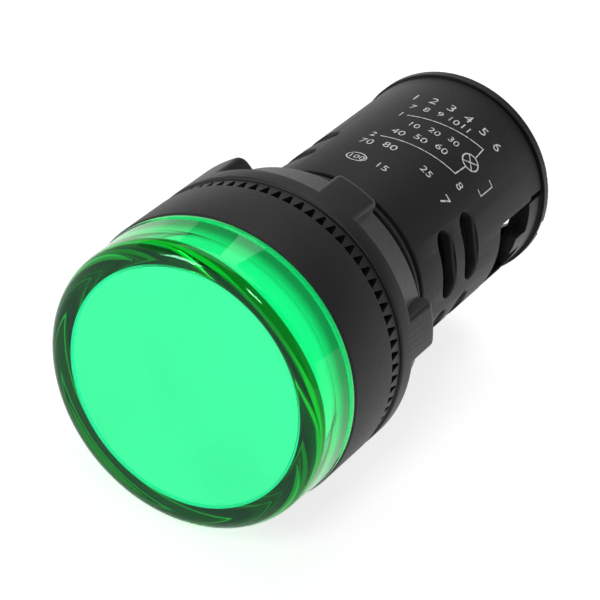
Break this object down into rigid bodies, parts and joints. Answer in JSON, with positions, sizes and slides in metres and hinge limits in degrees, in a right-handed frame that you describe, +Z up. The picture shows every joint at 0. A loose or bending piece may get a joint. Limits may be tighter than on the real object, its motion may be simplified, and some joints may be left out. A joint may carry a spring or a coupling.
{
  "type": "panel pilot light",
  "caption": "Round green indicator lamp for a 22 mm panel hole, with a lock nut, a toothed lock ring and rear screw terminals.",
  "frame": {"origin": "centre of the panel hole, on the face of the panel that the back of the head lands on", "axes": "+Y along the barrel, from the panel back into the cabinet; the lens looks along -Y; +Z is up, and the wire windows open along +X and -X"},
  "size_m": [0.029, 0.0528, 0.029],
  "materials": {
    "housing_plastic": "fine moulded grain",
    "lens_plastic": "clear green, polished",
    "diffuser_plastic": "milky",
    "board_laminate": "white solder mask",
    "chip_resin": "clear resin",
    "gasket_rubber": "soft rubber",
    "nut_plastic": "fine moulded grain",
    "ring_plastic": "moulded, satin",
    "driver_laminate": "green solder mask",
    "pin_metal": "tinned",
    "dropper_case": "moulded case",
    "smoother_can": "shrink sleeve",
    "rectifier_resin": "moulded resin",
    "resistor_body": "lacquered",
    "block_plastic": "moulded",
    "strip_brass": "stamped, nickel plated",
    "clamp_steel": "zinc plated",
    "screw_steel": "zinc plated",
    "cover_plastic": "fine moulded grain"
  },
  "bodies": {
    "housing": {"housing": "housing_plastic", "lens": "lens_plastic", "diffuser": "diffuser_plastic", "lamp_board": "board_laminate", "lamp_chips": "chip_resin", "panel_gasket": "gasket_rubber", "driver_board": "driver_laminate", "board_pins": "pin_metal", "dropper_capacitor": "dropper_case", "smoothing_capacitor": "smoother_can", "rectifier": "rectifier_resin", "surge_resistor": "resistor_body", "bleed_resistor": "resistor_body", "terminal_block": "block_plastic", "contact_strip_right": "strip_brass", "contact_strip_left": "strip_brass", "terminal_cover": "cover_plastic"},
    "lock_ring": {"lock_ring": "ring_plastic"},
    "lock_nut": {"lock_nut": "nut_plastic"},
    "clamp_right": {"clamp_plate_right": "clamp_steel"},
    "screw_right": {"terminal_screw_right": "screw_steel"},
    "clamp_left": {"clamp_plate_left": "clamp_steel"},
    "screw_left": {"terminal_screw_left": "screw_steel"}
  },
  "joints": [
    {"name": "lock_ring_slide", "type": "slide", "parent": "housing", "child": "lock_ring", "axis": [0, 1, 0], "range_m": [0, 0.009]},
    {"name": "lock_nut_turn", "type": "hinge", "parent": "lock_ring", "child": "lock_nut", "pos_m": [0, 0, 0], "axis": [0, 1, 0], "range_deg": [0, 2160]},
    {"name": "clamp_right_slide", "type": "slide", "parent": "housing", "child": "clamp_right", "axis": [0, 1, 0], "range_m": [0, 0.0025]},
    {"name": "screw_right_turn", "type": "hinge", "parent": "clamp_right", "child": "screw_right", "pos_m": [0.005, 0, 0], "axis": [0, 1, 0], "range_deg": [0, 1800]},
    {"name": "clamp_left_slide", "type": "slide", "parent": "housing", "child": "clamp_left", "axis": [0, 1, 0], "range_m": [0, 0.0025]},
    {"name": "screw_left_turn", "type": "hinge", "parent": "clamp_left", "child": "screw_left", "pos_m": [-0.005, 0, 0], "axis": [0, 1, 0], "range_deg": [0, 1800]}
  ],
  "couplings": [
    {"joint": "lock_nut_turn", "follows": "lock_ring_slide", "rad_per_m": 4188.8},
    {"joint": "screw_right_turn", "follows": "clamp_right_slide", "rad_per_m": 12566},
    {"joint": "screw_left_turn", "follows": "clamp_left_slide", "rad_per_m": 12566}
  ]
}
